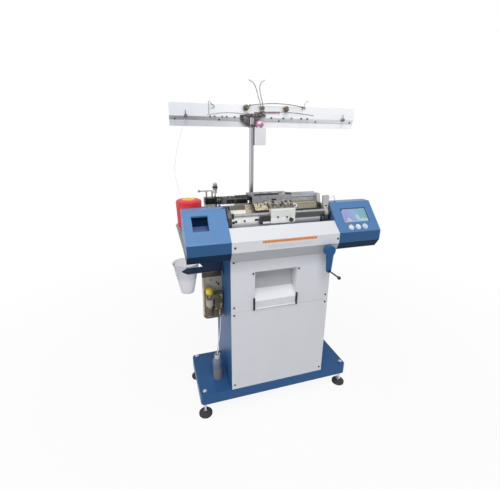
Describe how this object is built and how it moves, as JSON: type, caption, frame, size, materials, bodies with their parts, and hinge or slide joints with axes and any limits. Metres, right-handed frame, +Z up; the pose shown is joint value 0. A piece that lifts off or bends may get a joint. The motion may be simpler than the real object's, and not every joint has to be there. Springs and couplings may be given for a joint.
{
  "type": "glove knitting machine",
  "caption": "Floor-standing glove knitting machine: blue base and consoles, white column with a delivery chute, needle beds with a sliding carriage, and a yarn beam on a post.",
  "frame": {"origin": "middle of the machine's box, on the floor", "axes": "+Z up, +Y from the front of the machine to its back, +X to the right as seen from the front"},
  "size_m": [1.127, 0.5514, 1.8283],
  "materials": {
    "blue_paint": "satin",
    "white_paint": "satin",
    "black_rubber": "matte",
    "bright_steel": "satin",
    "cast_silver": "satin",
    "stainless": "satin",
    "dark_steel": "satin",
    "black_plastic": "satin",
    "white_plastic": "gloss",
    "screen_glass": "gloss",
    "bed_metal": "satin",
    "needle_metal": "satin",
    "cream_plate": "satin",
    "red_yarn": "matte",
    "white_yarn": "matte",
    "zinc_plate": "satin",
    "olive_metal": "satin",
    "clear_plastic": "gloss",
    "yellow_plastic": "gloss",
    "pink_plastic": "gloss",
    "red_plastic": "gloss",
    "green_plastic": "gloss",
    "belt_rubber": "matte",
    "motor_paint": "satin"
  },
  "bodies": {
    "frame": {"base_plinth": "blue_paint", "foot_pads": "black_rubber", "foot_hardware": "bright_steel", "side_frames": "blue_paint", "rear_cover": "blue_paint", "lower_front_panel": "white_paint", "upper_front_panel": "white_paint", "deck_plate": "cast_silver", "delivery_chute": "white_paint", "flap_brackets": "dark_steel", "front_cover": "white_paint", "left_console": "blue_paint", "right_console": "blue_paint", "touch_screen": "black_plastic", "screen_glass": "screen_glass", "button_collars": "white_plastic", "bed_frame": "cast_silver", "needle_beds": "bed_metal", "needles": "needle_metal", "bed_covers": "cream_plate", "carriage_rails": "bright_steel", "head_end_frames": "cast_silver", "selector_shelf": "dark_steel", "selector_motor": "dark_steel", "rear_guard": "stainless", "drive_motor": "motor_paint", "drive_belt": "belt_rubber", "yarn_post": "bright_steel", "beam_clamp": "dark_steel", "yarn_beam": "stainless", "beam_fittings": "olive_metal", "stop_motion_box": "white_plastic", "signal_lamp": "pink_plastic", "bowl_arms": "blue_paint", "yarn_bowls": "clear_plastic", "yarn_package": "red_yarn", "oil_bracket": "zinc_plate", "oil_pump": "olive_metal", "oil_bowl": "clear_plastic", "oil_cap": "yellow_plastic", "waste_bottle": "white_plastic", "yarn_line": "white_yarn", "drain_hose": "clear_plastic", "console_cable": "white_plastic"},
    "flap": {"chute_flap": "white_paint"},
    "stop_cap": {"stop_button": "red_plastic"},
    "start_cap": {"start_button": "green_plastic"},
    "reset_cap": {"reset_button": "white_plastic"},
    "lever": {"operating_lever": "blue_paint", "lever_handle": "black_plastic"},
    "carriage": {"front_cam_plate": "cream_plate", "carriage_bridge": "cast_silver", "carriage_fittings": "black_plastic"},
    "knob": {"cam_knob": "black_plastic"},
    "drum": {"selector_drum": "dark_steel"},
    "tension": {"tension_knob": "bright_steel"},
    "motor_rotor": {"motor_pulley": "bright_steel"},
    "drive_shaft": {"main_shaft": "bright_steel"},
    "left_wire": {"left_take_up": "bright_steel"},
    "right_wire": {"right_take_up": "bright_steel"}
  },
  "joints": [
    {"name": "flap_open", "type": "hinge", "parent": "frame", "child": "flap", "pos_m": [-0.0445, -0.11125, 0.659], "axis": [1, 0, 0], "range_deg": [0, 80]},
    {"name": "stop_press", "type": "slide", "parent": "frame", "child": "stop_cap", "axis": [0, 0.73, -0.6834], "range_m": [0, 0.003], "stiffness_N_per_m": 800},
    {"name": "start_press", "type": "slide", "parent": "frame", "child": "start_cap", "axis": [0, 0.73, -0.6834], "range_m": [0, 0.003], "stiffness_N_per_m": 800},
    {"name": "reset_press", "type": "slide", "parent": "frame", "child": "reset_cap", "axis": [0, 0.73, -0.6834], "range_m": [0, 0.003], "stiffness_N_per_m": 800},
    {"name": "lever_swing", "type": "hinge", "parent": "frame", "child": "lever", "pos_m": [0.236, -0.14025, 0.97], "axis": [0, 1, 0], "range_deg": [-35, 35]},
    {"name": "carriage_slide", "type": "slide", "parent": "frame", "child": "carriage", "axis": [1, 0, 0], "range_m": [-0.12, 0.16]},
    {"name": "cam_knob_turn", "type": "hinge", "parent": "carriage", "child": "knob", "pos_m": [0.0495, -0.05525, 1.13], "axis": [0, 1, 0], "range_deg": [-90, 90]},
    {"name": "drum_turn", "type": "hinge", "parent": "frame", "child": "drum", "pos_m": [-0.233, 0.23066, 1.194], "axis": [1, 0, 0], "continuous": true},
    {"name": "tension_turn", "type": "hinge", "parent": "frame", "child": "tension", "pos_m": [-0.295, 0.23066, 1.25], "axis": [0, 0, 1], "continuous": true},
    {"name": "motor_spin", "type": "hinge", "parent": "frame", "child": "motor_rotor", "pos_m": [-0.0245, 0.13675, 0.248], "axis": [1, 0, 0], "continuous": true},
    {"name": "shaft_spin", "type": "hinge", "parent": "frame", "child": "drive_shaft", "pos_m": [0.006, 0.13675, 0.89], "axis": [1, 0, 0], "continuous": true},
    {"name": "left_wire_swing", "type": "hinge", "parent": "frame", "child": "left_wire", "pos_m": [-0.1177, 0.18395, 1.65316], "axis": [0, 1, 0], "range_deg": [-12, 12], "stiffness_Nm_per_rad": 0.6},
    {"name": "right_wire_swing", "type": "hinge", "parent": "frame", "child": "right_wire", "pos_m": [-0.0307, 0.18395, 1.66816], "axis": [0, 1, 0], "range_deg": [-12, 12], "stiffness_Nm_per_rad": 0.6}
  ],
  "couplings": [
    {"joint": "shaft_spin", "follows": "motor_spin", "ratio": 0.5}
  ]
}
